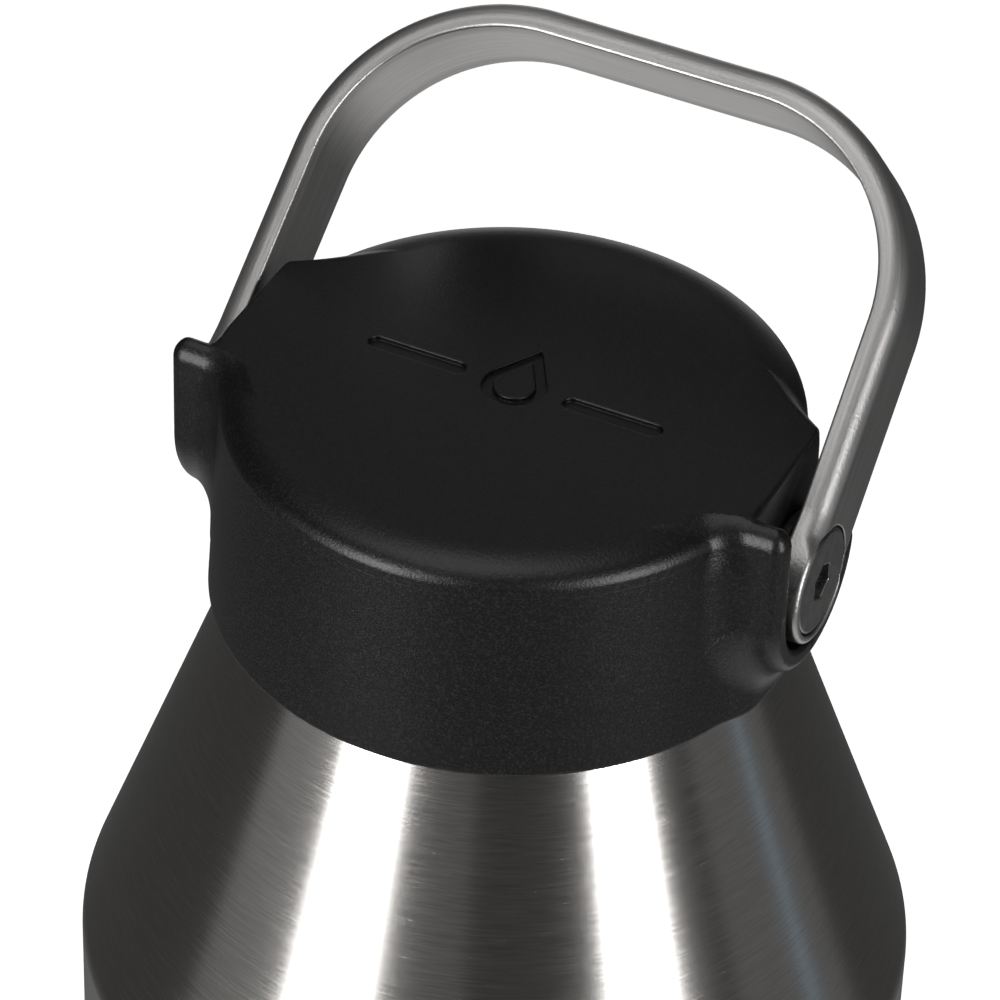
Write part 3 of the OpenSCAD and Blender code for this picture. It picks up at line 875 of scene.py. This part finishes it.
def make_gasket():
    """The flat seal ring on the lip."""
    low, high, inside = LIP_Z + 0.05, LIP_Z + 0.95, 21.85
    outline = rounded([(inside, low, 0.35), (inside + 2.9, low, 0.35), (inside + 2.9, high, 0.35),
                       (inside, high, 0.35)], closed=True)
    turned("seal_ring", outline, "cap_seal", ["lip_gasket"], SILICONE, 192)


def make_cap_liner():
    """The cap's inner moulding: plate, plug and skirt, with the female thread in the skirt."""
    plate, plate_top, plug_floor, skirt_foot = LIP_Z + 1, LIP_Z + 2.5, CAP_BOTTOM + 10.5, LEDGE_Z + 0.7
    skirt_r, plate_r, well_r = NECK_R + 1.3, 27.9, PLUG_R - 1.5
    under = [(0, plug_floor, 0), (PLUG_R, plug_floor, 1.4), (PLUG_R, plate, 0.3), (skirt_r, plate, 0)]
    skirt = [(skirt_r, z, 0) for z in np.arange(plate - 0.6, skirt_foot + 0.5, -0.2)]
    skirt += [(skirt_r, skirt_foot, 0), (skirt_r + 1.2, skirt_foot, 0.4), (skirt_r + 1.2, plate, 0.3)]
    over = [(plate_r, plate, 0.3), (plate_r, plate_top, 0.3), (well_r, plate_top, 0.3),
            (well_r, plug_floor + 1.5, 0.8), (0, plug_floor + 1.5, 0)]
    turned("cap_inner", rounded(under + skirt + over), "cap", ["cap_liner"], LINER_BLACK,
           bulge=thread_bulge(0.1 - THREAD_DEPTH, THREAD_Z - 0.8, math.radians(-126), skirt_r))


make_bottle()
make_liner()
make_base_cover()
make_gasket()
make_cap_liner()

# ---------------------------------------------------------------- CAD nodes that stay

FINISHES = {"vacuum_base": (LINER_STEEL, "liner_steel"), "seal_bead": (GLASS, "solder_glass"),
            "getter": (GETTER, "getter_alloy"), "getter_clip": (LINER_STEEL, "liner_steel"),
            "copper_foil": (COPPER, "copper"), "foam_core": (FOAM, "foam"),
            "insert_left": (BRASS, "brass"), "insert_right": (BRASS, "brass")}
for node, (material, slot) in FINISHES.items():
    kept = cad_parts[node]
    kept.data.materials.clear()
    kept.data.materials.append(material)

# ---------------------------------------------------------------- stage and light

# The room's greys from straight down, 0, to straight up, 1
ROOM_GREYS = ((0.0, 0.65), (0.1, 0.55), (0.17, 0.13), (0.23, 0.06), (0.5, 0.04), (0.75, 0.04), (1.0, 0.1))


def make_floor():
    """Pale paper on which the bottle stands. The steel reflects the room instead."""
    mesh = bpy.data.meshes.new("floor")
    mesh.from_pydata([(-6, -6, 0), (6, -6, 0), (6, 6, 0), (-6, 6, 0)], [], [(0, 1, 2, 3)])
    floor = bpy.data.objects.new("floor", mesh)
    bpy.context.scene.collection.objects.link(floor)
    m = Material("floor_paper")
    tooth = m.noise(m.where, scale=900, detail=3)
    m.feed(m.shader.inputs["Base Color"], m.ramp(tooth, (0.3, 0.84), (0.7, 0.87)))
    m.feed(m.shader.inputs["Roughness"], m.span(tooth, 0.3, 0.7, 0.85, 0.95))
    m.set(Emission_Color=(1, 1, 1, 1), Emission_Strength=0.72, Specular_IOR_Level=0.0)
    m.bumped((tooth, 0.0001, 0.1))
    mesh.materials.append(m.material)
    floor.visible_glossy = False
    floor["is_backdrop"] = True


def softbox(name, azimuth, elevation, distance, width, height, power, colour=(1, 1, 1)):
    """An area light that faces the cap. Azimuth 0 is in front, and 90 is on the right."""
    target = Vector((0, 0, 0.22))
    a, e = math.radians(azimuth), math.radians(elevation)
    away = Vector((math.sin(a) * math.cos(e), -math.cos(a) * math.cos(e), math.sin(e)))
    data = bpy.data.lights.new(name, "AREA")
    data.shape = "RECTANGLE"
    data.size, data.size_y = width, height
    data.energy = power
    data.color = colour
    light = bpy.data.objects.new(name, data)
    turn = away.to_track_quat("Z", "Y").to_matrix().to_4x4()
    light.matrix_world = Matrix.Translation(target + away * distance) @ turn
    bpy.context.scene.collection.objects.link(light)


def make_world():
    """Dim room that the bottle reflects, with a pale wall behind what the camera sees."""
    world = bpy.data.worlds.new("studio")
    bpy.context.scene.world = world
    world.use_nodes = True
    tree = world.node_tree
    room = tree.nodes["Background"]
    height = tree.nodes.new("ShaderNodeSeparateXYZ")
    tree.links.new(tree.nodes.new("ShaderNodeTexCoord").outputs["Generated"], height.inputs[0])
    level = tree.nodes.new("ShaderNodeMapRange")
    level.inputs["From Min"].default_value = -1
    tree.links.new(height.outputs["Z"], level.inputs["Value"])
    shade = tree.nodes.new("ShaderNodeValToRGB")
    while len(shade.color_ramp.elements) < len(ROOM_GREYS):
        shade.color_ramp.elements.new(1)
    for element, (place, grey) in zip(shade.color_ramp.elements, ROOM_GREYS):
        element.position = place
        element.color = (grey, grey, grey, 1)
    tree.links.new(level.outputs["Result"], shade.inputs["Fac"])
    tree.links.new(shade.outputs["Color"], room.inputs["Color"])
    wall = tree.nodes.new("ShaderNodeBackground")
    wall.inputs["Color"].default_value = (1, 1, 1, 1)
    wall.inputs["Strength"].default_value = 0.95
    path = tree.nodes.new("ShaderNodeLightPath")
    mix = tree.nodes.new("ShaderNodeMixShader")
    tree.links.new(path.outputs["Is Camera Ray"], mix.inputs[0])
    tree.links.new(room.outputs[0], mix.inputs[1])
    tree.links.new(wall.outputs[0], mix.inputs[2])
    tree.links.new(mix.outputs[0], tree.nodes["World Output"].inputs["Surface"])


make_floor()
make_world()
softbox("left_box", -21, 8, 1.3, 0.55, 1.1, 13)
softbox("left_fill", -49, 8, 1.3, 0.55, 1.1, 0.45)
softbox("right_box", 67.5, 8, 1.3, 0.45, 1.1, 11)
softbox("middle_fill", 6, 8, 1.3, 0.5, 1.1, 0.13)
softbox("right_fill", 114, -6, 1.3, 0.85, 1.1, 0.26)
softbox("blue_edge", 119, -6, 1.25, 0.06, 1.1, 0.07, (0.45, 0.75, 1))
softbox("rear_box", -160, -6, 1.5, 0.8, 0.7, 1.4)
softbox("top_box", -34, 80, 1.3, 1.0, 1.0, 3.6)
softbox("back_box", -155, 44, 1.8, 1.6, 0.9, 0.75)
bpy.context.scene.view_settings.view_transform = "Standard"

# ---------------------------------------------------------------- end


def corners(box):
    """A box's two corners as plain numbers."""
    return [[float(v) for v in corner] for corner in box]


{"cad": corners(cad_box), "visual": corners(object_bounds())}
